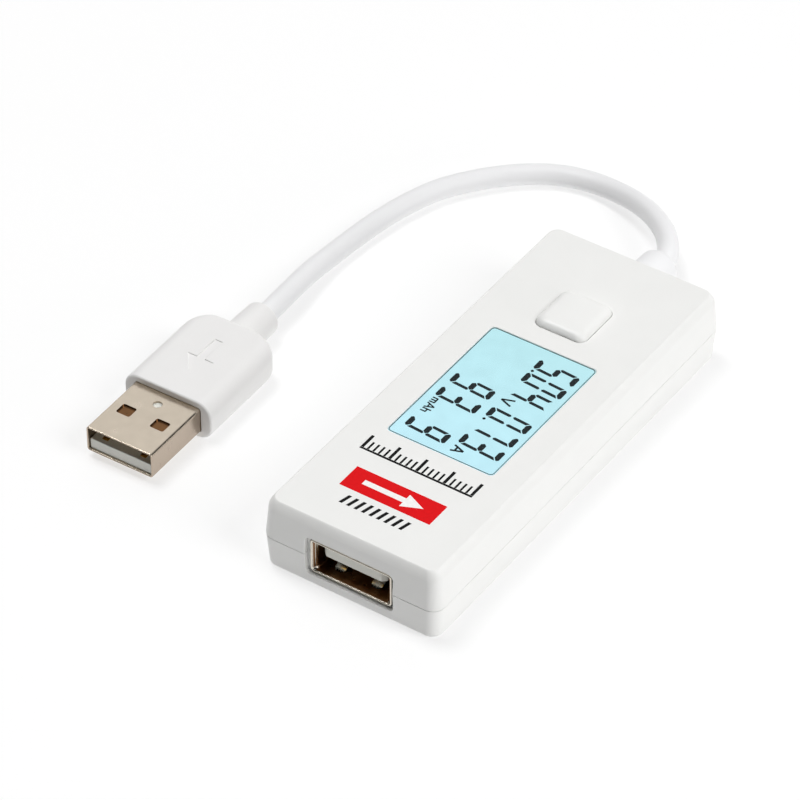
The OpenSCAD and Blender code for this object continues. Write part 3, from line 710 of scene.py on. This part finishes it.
def end_cutters():
    """Pocket and hole of the socket, and the hole of the lead."""
    front, rear = -CASE_L / 2, CASE_L / 2
    cutters = [
        (rounded_loop(15.4, 7, 0.9), POCKET_Z, front - 1, front + POCKET_DEPTH),
        (rounded_loop(14.5, 6.3, 0.7), SOCKET.z, front - 1, front + 2.5),
        (circle_loop(3.3), GROMMET_Z, rear - 2.7, rear + 1),
    ]
    return [loft("cutter", [at_y(outline, y, z=z) for y in (near, far)])
            for outline, z, near, far in cutters]


def on_mouth(p):
    """Edges of the socket's pocket on the case's front face."""
    return p.y < -CASE_L / 2 + POCKET_DEPTH - 0.01 and abs(p.x) < 7.9 and abs(p.z - POCKET_Z) < 3.7


POST_PLACES = [(x, y) for x in (-10.8, 10.8) for y in (-32, 27)]


def posts(radius, low, high):
    """A round post at each of the four places where the halves meet through the board."""
    outline = circle_loop(radius, 32)
    return [loft("post", [at_z(outline, low, x, y), at_z(outline, high, x, y)]) for x, y in POST_PLACES]


def top_shell():
    rings = [
        cavity_ring(CASE_H - SKIN_T), cavity_ring(PARTING_Z + LIP_H),
        cavity_ring(PARTING_Z + LIP_H, LIP_T + FIT_GAP), cavity_ring(PARTING_Z, LIP_T + FIT_GAP),
        case_ring(PARTING_Z, 0.12), case_ring(PARTING_Z + 0.04, 0.04), case_ring(PARTING_Z + 0.12, 0.013),
    ]
    for a in arc_steps(10):
        rise, run = sin(a) ** TOP_EDGE_FULLNESS, cos(a) ** TOP_EDGE_FULLNESS
        rings.append(case_ring(CASE_H - TOP_EDGE_H * (1 - rise), DRAFT + TOP_EDGE_IN * (1 - run)))
    obj = loft("case_top", rings)
    unite(obj, *posts(2, BOARD_HIGH.z, CASE_H - SKIN_T + 0.3))
    cut(obj, *posts(0.85, BOARD_HIGH.z - 1, BOARD_HIGH.z + 2))
    gap = 0.12
    window = rounded_loop(WINDOW_SIZE.x + 2 * gap, WINDOW_SIZE.y + 2 * gap, WINDOW_R)
    button = rounded_loop(CAP_W + gap, CAP_L + gap, CAP_R)
    openings = [[(x + WINDOW_MID.x, y + WINDOW_MID.y) for x, y in window],
                [(x, y + CAP_Y) for x, y in button]]
    cut(obj, prism("cutter", openings, CASE_H - SKIN_T - 1, CASE_H + 1))
    cut(obj, *end_cutters())
    soften(obj, 0.1, lambda p: p.z > CASE_H - 0.001 and abs(p.x) < 10 and abs(p.y) < 30)
    soften(obj, 0.12, on_mouth)
    shade(obj)
    return finish_piece(obj, CASE_PLASTIC, ["top_shell"])


def bottom_shell():
    rings = [case_ring(BOTTOM_EDGE_R * (1 - cos(a)), DRAFT + BOTTOM_EDGE_R * (1 - sin(a)))
             for a in arc_steps(8)]
    top = PARTING_Z - SEAM_GAP
    rings += [case_ring(top - 0.1, 0.035), case_ring(top - 0.03, 0.06), case_ring(top, 0.14),
              cavity_ring(top, LIP_T), cavity_ring(PARTING_Z + LIP_H - 0.08, LIP_T),
              cavity_ring(PARTING_Z + LIP_H, LIP_T - 0.08), cavity_ring(PARTING_Z + LIP_H),
              cavity_ring(SKIN_T)]
    obj = loft("case_bottom", rings)
    unite(obj, *posts(2, SKIN_T - 0.3, BOARD_LOW.z))
    unite(obj, *posts(0.8, BOARD_LOW.z - 0.4, BOARD_HIGH.z + 1.8))
    rib = [(-5, 34), (5, 34), (5, 35.1), (-5, 35.1)]
    unite(obj, prism("rib", [rib], SKIN_T - 0.3, 4.2))
    cut(obj, *end_cutters())
    soften(obj, 0.12, on_mouth)
    shade(obj)
    return finish_piece(obj, CASE_PLASTIC, ["bottom_shell"])


top_shell()
bottom_shell()


# ---------------------------------------------------------------- button

def button_cap():
    """Pillow-shaped cap on a flange, hollow underneath, with a post that meets the switch."""
    edge_in, edge_h, crown, flange_t, hollow = 1.5, 1.1, 0.08, 0.6, 1.6
    low, high = CAP_LOW.z, CAP_HIGH.z

    def ring(w, l, r, z):
        return at_z(rounded_loop(w, l, r, 12), z, y=CAP_Y)

    rings = [
        ring(CAP_W - 2, CAP_L - 2, 0.8, low + hollow), ring(CAP_W - 2, CAP_L - 2, 0.8, low),
        ring(CAP_W + 2 * CAP_FLANGE_OUT, CAP_L + 2 * CAP_FLANGE_OUT, CAP_R, low),
        ring(CAP_W + 2 * CAP_FLANGE_OUT, CAP_L + 2 * CAP_FLANGE_OUT, CAP_R, low + flange_t),
        ring(CAP_W, CAP_L, CAP_R, low + flange_t),
    ]
    edge_top = high - crown
    for a in arc_steps(12):
        inset = edge_in * (1 - cos(a))
        rings.append(ring(CAP_W - 2 * inset, CAP_L - 2 * inset, CAP_R - 0.4 * inset,
                          edge_top - edge_h * (1 - sin(a))))
    inner_w, inner_l = CAP_W - 2 * edge_in, CAP_L - 2 * edge_in
    for share in (0.9, 0.75, 0.55, 0.35, 0.15):
        rings.append(ring(inner_w * share, inner_l * share, (CAP_R - 0.4 * edge_in) * share,
                          edge_top + crown * (1 - share ** 2)))
    obj = loft("button_pillow", rings)
    post = loft("post", [at_z(circle_loop(2.2, 32), z, y=CAP_Y) for z in (low, low + hollow + 0.3)])
    unite(obj, post)
    shade(obj)
    return finish_piece(obj, BUTTON_PLASTIC, ["button_cap"], body="button")


button_cap()


# ---------------------------------------------------------------- socket

def socket_shell():
    """Sheet shell with a flared, rolled mouth, two slots in its floor where the springs rise, and board
    wings.
    """
    w, h, sheet = SOCKET_W, SOCKET_H, SOCKET_SHEET_T
    rim_w, rim_h, flare = 14.3, 6.1, 0.9
    rear = box_mm("socket_shell")[1].y
    front = SOCKET.y

    def ring(ww, hh, r, y):
        return at_y(rounded_loop(ww, hh, r), y, z=SOCKET.z)

    rings = [ring(w, h, 0.6, rear), ring(w, h, 0.6, front + flare + 0.25)]
    for t in (0.75, 0.5, 0.25):
        bend = (1 - t) ** 1.5
        rings.append(ring(w + (rim_w - w) * bend, h + (rim_h - h) * bend, 0.6 + 0.1 * bend,
                          front + flare * t + 0.1))
    lip = 0.17
    for i in range(9):
        a = pi * i / 8
        inset = lip * (1 - cos(a))
        rings.append(ring(rim_w - 2 * inset, rim_h - 2 * inset, 0.7 - inset * 0.8,
                          front + lip * (1 - sin(a))))
    inner_w, inner_h = w - 2 * sheet, h - 2 * sheet
    for t in (0.3, 0.6):
        bend = (1 - t) ** 1.5
        rings.append(ring(inner_w + (rim_w - 4 * lip - inner_w) * bend,
                          inner_h + (rim_h - 4 * lip - inner_h) * bend,
                          0.35, front + flare * t + 0.1))
    rings += [ring(inner_w, inner_h, 0.3, front + flare + 0.25), ring(inner_w, inner_h, 0.3, rear)]
    obj = loft("socket_sheet_shell", rings, closed=True)
    slots = [[(x + px, front + 4.3 + py) for px, py in rounded_loop(2.5, 6, 0.4, 5)] for x in (-3.2, 3.2)]
    cut(obj, prism("cutter", slots, SOCKET.z - h / 2 - 1, SOCKET.z - h / 2 + 0.5))
    wing_front, wing_rear = front + 5.3, front + 8.3
    wings = [[(side * (w / 2 - 0.15), wing_front), (side * (w / 2 + 2.05), wing_front),
              (side * (w / 2 + 2.05), wing_rear), (side * (w / 2 - 0.15), wing_rear)] for side in (-1, 1)]
    unite(obj, prism("wings", wings, BOARD_HIGH.z, BOARD_HIGH.z + sheet))
    shade(obj, 40)
    finish_piece(obj, SOCKET_METAL, ["socket_shell"])


def socket_shade_liner():
    """Painted shade: a dark coat over the shell's inner face, in place of the shade inside the socket."""
    w, h = SOCKET_W - 2 * SOCKET_SHEET_T, SOCKET_H - 2 * SOCKET_SHEET_T
    front, rear = SOCKET.y, SOCKET.y + BLOCK_FRONT

    def ring(grow, inset, r, y):
        return at_y(rounded_loop(w + grow - 2 * inset, h + grow * 0.35 - 2 * inset, r), y, z=SOCKET.z)

    places = [(0, rear), (0, front + 1.15), (0.3, front + 0.8), (0.68, front + 0.4), (0.98, front + 0.22)]
    rings = [ring(grow, 0, 0.3, y) for grow, y in places]
    rings += [ring(grow, 0.04, 0.28, y) for grow, y in reversed(places)]
    obj = shade(loft("socket_painted_shade_wall", rings, closed=True), 40)
    return finish_piece(obj, PAINTED_SHADE_METAL)


def socket_springs():
    """Two tongues pressed up from the shell's floor, each curling down to a rounded tip."""
    floor = -SOCKET_H / 2
    # Middle line of a spring as distances behind the rim and heights from the socket's middle
    line = [(7.4, floor + 0.15), (6.7, floor + 0.28), (5.3, floor + 0.58), (4, floor + 0.8),
            (3.2, floor + 0.86), (2.5, floor + 0.74), (2, floor + 0.48), (1.7, floor + 0.2)]
    curve = smooth_route([(0, SOCKET.y + y, z) for y, z in line], (0, -1, 0.05), (0, -0.45, -0.9), 4)
    half_t = 0.11
    bm = bmesh.new()
    for x in (-3.2, 3.2):
        rings = []
        for i, point in enumerate(curve):
            before, after = curve[max(0, i - 1)], curve[min(len(curve) - 1, i + 1)]
            ahead = (after - before).normalized()
            up = Vector((0, ahead.z, -ahead.y)) if ahead.y < 0 else Vector((0, -ahead.z, ahead.y))
            to_tip = (curve[-1] - point).length
            half_w = 0.95 * min(1, 0.45 + 0.75 * to_tip ** 0.6)
            corners = [(half_w - 0.05, half_t), (half_w, half_t * 0.3), (half_w, -half_t * 0.3),
                       (half_w - 0.05, -half_t), (0.05 - half_w, -half_t), (-half_w, -half_t * 0.3),
                       (-half_w, half_t * 0.3), (0.05 - half_w, half_t)]
            centre = point + Vector((x, 0, SOCKET.z))
            rings.append([centre + Vector((side, 0, 0)) + up * height for side, height in corners])
        add_loft(bm, rings)
    obj = shade(to_object("socket_springs", bm), 50)
    return finish_piece(obj, SPRING_METAL)


def socket_tongue():
    """White tongue with bevelled front corners, standing out of a block that closes the shell."""
    low, high = box_mm("socket_tongue")
    tongue_low, tongue_high = SOCKET.z + 0.25, SOCKET.z + 0.25 + 1.84
    w, bevel, rear = 11.1, 0.7, SOCKET.y + 10.8
    outline = [(-w / 2, rear), (-w / 2, low.y + bevel), (-w / 2 + bevel, low.y), (w / 2 - bevel, low.y),
               (w / 2, low.y + bevel), (w / 2, rear)]
    obj = prism("socket_inner_tongue", [outline], tongue_low, tongue_high)
    soften(obj, 0.14, lambda p: p.y < rear - 0.5)
    block_w, block_h = high.x - low.x, high.z - low.z
    block = loft("block", [at_y(rounded_loop(block_w, block_h, 0.3), y, z=SOCKET.z)
                           for y in (SOCKET.y + BLOCK_FRONT, high.y)])
    unite(obj, block)
    strips = []
    for x in CONTACT_XS:
        section = [(x - 0.52, -0.5), (x + 0.52, -0.5), (x + 0.52, 0.03), (x - 0.52, 0.03)]
        strips.append(loft("cutter", [at_y(section, y, z=tongue_low)
                                      for y in (SOCKET.y + 1.35, SOCKET.y + 9.7)]))
    cut(obj, *strips)
    shade(obj)
    return finish_piece(obj, TONGUE_PLASTIC, ["socket_tongue"])


SPRING_METAL = sheet_metal("spring_metal", srgb(226, 226, 220), rough=0.25, stretch=(1, 0.1, 1))
socket_shell()
socket_shade_liner()
socket_springs()
socket_tongue()


# ---------------------------------------------------------------- display

FILM_TOP = WINDOW_HIGH.z - 0.055


def window_piece():
    """Clear window with softly rounded edges."""
    w, l = WINDOW_SIZE.x, WINDOW_SIZE.y
    low, high = FILM_TOP + 0.025, WINDOW_HIGH.z
    levels = [(low, 0.05), (high - 0.01, 0.05), (high, 0.06)]
    obj = loft("window_pane", [
        at_z(rounded_loop(w - 2 * e, l - 2 * e, WINDOW_R - e), z, WINDOW_MID.x, WINDOW_MID.y)
        for z, e in levels
    ])
    shade(obj)
    return finish_piece(obj, WINDOW_CLEAR, ["display_window"])


def display_film():
    """Lit film that fills the window under its clear face."""
    w, l = WINDOW_SIZE.x - 0.04, WINDOW_SIZE.y - 0.04
    obj = loft("display_film", [at_z(rounded_loop(w, l, 0.68), z, WINDOW_MID.x, WINDOW_MID.y)
                                for z in (WINDOW_LOW.z + 0.02, FILM_TOP)])
    return finish_piece(obj, LCD_LIT)


def window_gap_shade():
    """Fine dark line round the window's top: a painted shadow of the gap between the window and its
    opening.
    """
    w, l, r, width = WINDOW_SIZE.x, WINDOW_SIZE.y, WINDOW_R, 0.1
    low, high = WINDOW_HIGH.z - 0.04, WINDOW_HIGH.z + 0.01
    levels = [(w, l, r, low), (w, l, r, high), (w - 2 * width, l - 2 * width, r - width, high),
              (w - 2 * width, l - 2 * width, r - width, low)]
    obj = loft("window_gap_painted_shade", [at_z(rounded_loop(ww, ll, rr), z, WINDOW_MID.x, WINDOW_MID.y)
                                    for ww, ll, rr, z in levels], closed=True)
    shade(obj)
    # The black ink here paints the gap's shadow, not a print
    return finish_piece(obj, INK_BLACK)


# Lit segments of each figure
SEGMENTS_OF = {"0": "abcdef", "3": "abcdg", "4": "bcfg", "5": "acdfg", "7": "abc", "9": "abcdfg"}


def segment_shapes(w, h, across_t=0.56, level_t=0.92, gap=0.08):
    """Outlines of the seven segments of a figure whose lower left corner is the origin."""
    mid = h / 2
    top = [(gap + 0.3, h), (w - gap - 0.3, h), (w - gap, h - 0.3), (w - gap - 0.12, h - 0.55),
           (w - across_t - gap, h - level_t), (across_t + gap, h - level_t), (gap + 0.12, h - 0.55),
           (gap, h - 0.3)]
    upper_left = [(0.02, h - 0.62), (0, h - 0.8), (0, mid + 0.36), (across_t * 0.5, mid + 0.16),
                  (across_t, mid + 0.48), (across_t, h - level_t - gap - 0.06)]
    middle = [(0.34, mid + 0.06), (across_t + 0.1, mid + level_t / 2),
              (w - across_t - 0.1, mid + level_t / 2),
              (w - 0.34, mid + 0.06), (w - 0.34, mid - 0.06), (w - across_t - 0.1, mid - level_t / 2),
              (across_t + 0.1, mid - level_t / 2), (0.34, mid - 0.06)]

    def over(shape):
        return [(u, h - v) for u, v in shape]

    def across(shape):
        return [(w - u, v) for u, v in shape]

    return {"a": top, "b": across(upper_left), "c": across(over(upper_left)), "d": over(top),
            "e": over(upper_left), "f": upper_left, "g": middle}


def stroke(first, second, width):
    """Outline of a straight stroke with square ends."""
    a, b = Vector(first), Vector(second)
    side = (b - a).orthogonal().normalized() * width / 2
    return [tuple(a + side), tuple(b + side), tuple(b - side), tuple(a - side)]


def unit_strokes(letters, u, v, size, width):
    """Strokes of the unit letters, which stand on v and run from u to the right."""
    shapes = {
        "V": (0.72, [((0, 1), (0.36, 0)), ((0.36, 0), (0.72, 1))]),
        "A": (0.72, [((0, 0), (0.36, 1)), ((0.36, 1), (0.72, 0)), ((0.15, 0.34), (0.57, 0.34))]),
        "m": (0.72, [((0, 0), (0, 0.66)), ((0, 0.6), (0.36, 0.6)), ((0.34, 0), (0.34, 0.6)),
                     ((0.34, 0.6), (0.68, 0.6)), ((0.68, 0), (0.68, 0.63))]),
        "h": (0.5, [((0, 0), (0, 1)), ((0, 0.58), (0.42, 0.58)), ((0.42, 0), (0.42, 0.62))]),
    }
    found = []
    for letter in letters:
        advance, lines = shapes[letter]
        for (u0, v0), (u1, v1) in lines:
            found.append(stroke((u + u0 * size, v + v0 * size), (u + u1 * size, v + v1 * size), width))
        u += (advance + 0.2) * size
    return found


def display_figures():
    """Dark segments on the display. They are read from the case's left side: up is +X, right is -Y."""
    w, h, lean = 2.45, 7.4, tan(radians(3.8))
    shapes = segment_shapes(w, h)
    outlines = []
    rows = [
        (1.11, [("5", -10.13), ("0", -6.63), ("4", -3.28), ("0", 2.9), ("7", 6.52), ("3", 10.17)]),
        (-7.63, [("9", -0.6), ("3", 3.2), ("9", 11.3)]),
    ]
    for base, figures in rows:
        for figure, left in figures:
            for segment in SEGMENTS_OF[figure]:
                outlines.append([(left + u + lean * v, base + v) for u, v in shapes[segment]])
    for u, v in ((-7.13, 1.51), (6.02, 1.51)):
        outlines.append([(u + x, v + y) for x, y in circle_loop(0.26, 16)])
    outlines += unit_strokes("V", 0.15, 1.24, 2.0, 0.34)
    outlines += unit_strokes("A", 13.32, 1.24, 1.9, 0.34)
    outlines += unit_strokes("mAh", 6.2, -7.45, 1.5, 0.26)
    level = [[(v, -u) for u, v in outline] for outline in outlines]
    obj = prism("display_segments", level, FILM_TOP + 0.002, FILM_TOP + 0.02)
    return finish_piece(obj, SEGMENT_DARK)


window_piece()
display_film()
window_gap_shade()
display_figures()


# ---------------------------------------------------------------- print on the case

PRINT_LOW = CASE_H + 0.001
PRINT_HIGH = CASE_H + 0.018
ARROW_INK_T = 0.008


def print_scale():
    """Plain tick scale under the display."""
    left, pitch, base = -9.74, 0.96, -21.38
    bars = []
    for i in range(21):
        height = 2.9 if i % 5 == 0 else 1.7
        width = 0.5 if i % 5 == 0 else 0.34
        x = left + pitch * i
        bars.append([(x - width / 2, base), (x + width / 2, base), (x + width / 2, base + height),
                     (x - width / 2, base + height)])
    bars.append([(left - 0.25, base - 0.42), (left + 20 * pitch + 0.25, base - 0.42),
                 (left + 20 * pitch + 0.25, base - 0.04), (left - 0.25, base - 0.04)])
    return finish_piece(prism("print_scale", bars, PRINT_LOW, PRINT_HIGH), INK_BLACK)


def print_panel():
    """Red panel with a white arrow that shows which way the current flows."""
    left, right, low, high = -7.84, 7.96, -30.08, -25.38
    mid = (low + high) / 2
    outline = [(left, low), (right, low), (right, high), (left, high)]
    finish_piece(prism("print_panel", [outline], PRINT_LOW, PRINT_HIGH), INK_RED)
    arrow = [(-5.14, mid - 0.5), (2.06, mid - 0.5), (2.06, mid - 1.45), (5.36, mid), (2.06, mid + 1.45),
             (2.06, mid + 0.5), (-5.14, mid + 0.5)]
    obj = prism("print_arrow", [arrow], PRINT_HIGH, PRINT_HIGH + ARROW_INK_T)
    return finish_piece(obj, INK_WHITE)


def print_dashes():
    """Row of leaning dashes."""
    height, width, pitch, low = 2.0, 0.55, 1.3, -33.28
    lean = height * tan(radians(14))
    bars = []
    for i in range(9):
        x = -5.74 + pitch * i
        bars.append([(x, low), (x + width, low), (x + width + lean, low + height),
                     (x + lean, low + height)])
    return finish_piece(prism("print_dashes", bars, PRINT_LOW, PRINT_HIGH), INK_BLACK)


print_scale()
print_panel()
print_dashes()


# ---------------------------------------------------------------- CAD nodes that keep their shape

KEPT = {
    "lcd_front_glass": LCD_LIT, "lcd_rear_glass": LCD_REAR, "light_diffuser": DIFFUSER_SHEET,
    "light_guide": LIGHT_GUIDE, "backlight_leds": LED_RESIN, "zebra_strip": ZEBRA_RUBBER,
    "display_frame": FRAME_PLASTIC, "circuit_board": BOARD_GREEN, "socket_contacts": CONTACT_GOLD,
    "switch_plunger": SWITCH_BLACK, "switch_cover": SWITCH_STEEL, "switch_dome": SWITCH_STEEL,
    "switch_base": SWITCH_BLACK, "switch_terminals": SWITCH_STEEL, "controller_chip": CHIP_BLACK,
    "controller_leads": TINNED_LEADS, "memory_chip": CHIP_BLACK, "voltage_regulator": CHIP_BLACK,
    "shunt_resistor": SHUNT_METAL, "crystal": CAN_METAL, "bulk_capacitor": CAN_METAL,
    "ceramic_capacitors": CHIP_CERAMIC, "chip_resistors": CHIP_BLACK,
}
for node, material in KEPT.items():
    NODES[node].data.materials.clear()
    NODES[node].data.materials.append(material)


# ---------------------------------------------------------------- studio

PANEL_DIRECTION = (-0.43, 0.63, 0.65)
# Cosine of the angle from the panel's middle at which its light starts
PANEL_START = 0.5
PANEL_COLOUR = (0.72, 0.72, 0.72)
FLOOR_GLOW = 0.6


def plain_material(name, colour, emission):
    nodes = Nodes(name)
    nodes.link(nodes.blended(nodes.noise(40), scaled(colour, 0.99), scaled(colour, 1)), "Base Color")
    nodes.shader.inputs["Roughness"].default_value = 0.8
    nodes.shader.inputs["Specular IOR Level"].default_value = 0.0
    nodes.shader.inputs["Emission Color"].default_value = (1, 1, 1, 1)
    nodes.shader.inputs["Emission Strength"].default_value = emission
    return nodes.material


def make_floor():
    side = 2000
    floor = prism("floor", [[(-side, -side), (side, -side), (side, side), (-side, side)]], -5, -0.02)
    floor.data.materials.append(plain_material("floor_paper", (0.4, 0.4, 0.4), FLOOR_GLOW))


def softbox(name, place, size, power):
    """Rectangular light that faces the middle of the case's underside."""
    data = bpy.data.lights.new(name, "AREA")
    data.shape = "RECTANGLE"
    data.size, data.size_y = size
    data.energy = power
    light = bpy.data.objects.new(name, data)
    light.location = place
    light.rotation_euler = Vector(place).to_track_quat("Z", "Y").to_euler()
    bpy.context.scene.collection.objects.link(light)


def make_world():
    """One broad soft panel, high behind the case and to its left, in a dark studio."""
    world = bpy.data.worlds.new("studio")
    world.use_nodes = True
    tree = world.node_tree
    coords = tree.nodes.new("ShaderNodeTexCoord")
    facing = tree.nodes.new("ShaderNodeVectorMath")
    facing.operation = "DOT_PRODUCT"
    facing.inputs[1].default_value = Vector(PANEL_DIRECTION).normalized()
    tree.links.new(coords.outputs["Generated"], facing.inputs[0])
    ranged = tree.nodes.new("ShaderNodeMapRange")
    ranged.interpolation_type = "SMOOTHSTEP"
    ranged.inputs["From Min"].default_value = PANEL_START
    tree.links.new(facing.outputs["Value"], ranged.inputs["Value"])
    tint = tree.nodes.new("ShaderNodeVectorMath")
    tint.operation = "MULTIPLY"
    tint.inputs[0].default_value = PANEL_COLOUR
    tree.links.new(ranged.outputs["Result"], tint.inputs[1])
    tree.links.new(tint.outputs["Vector"], tree.nodes["Background"].inputs["Color"])
    bpy.context.scene.world = world


make_floor()
make_world()
softbox("over_softbox", (0, 0, 1.1), (0.4, 0.4), 1.1)
softbox("over_left_softbox", (-0.35, 0, 1.05), (0.4, 0.4), 5.6)
softbox("right_high_softbox", (0.8, 0, 0.7), (0.5, 0.5), 5.1)
softbox("right_low_softbox", (1, 0, 0.15), (0.6, 0.3), 2.6)

scene = bpy.context.scene
scene.view_settings.view_transform = "Standard"
scene.view_settings.look = "None"
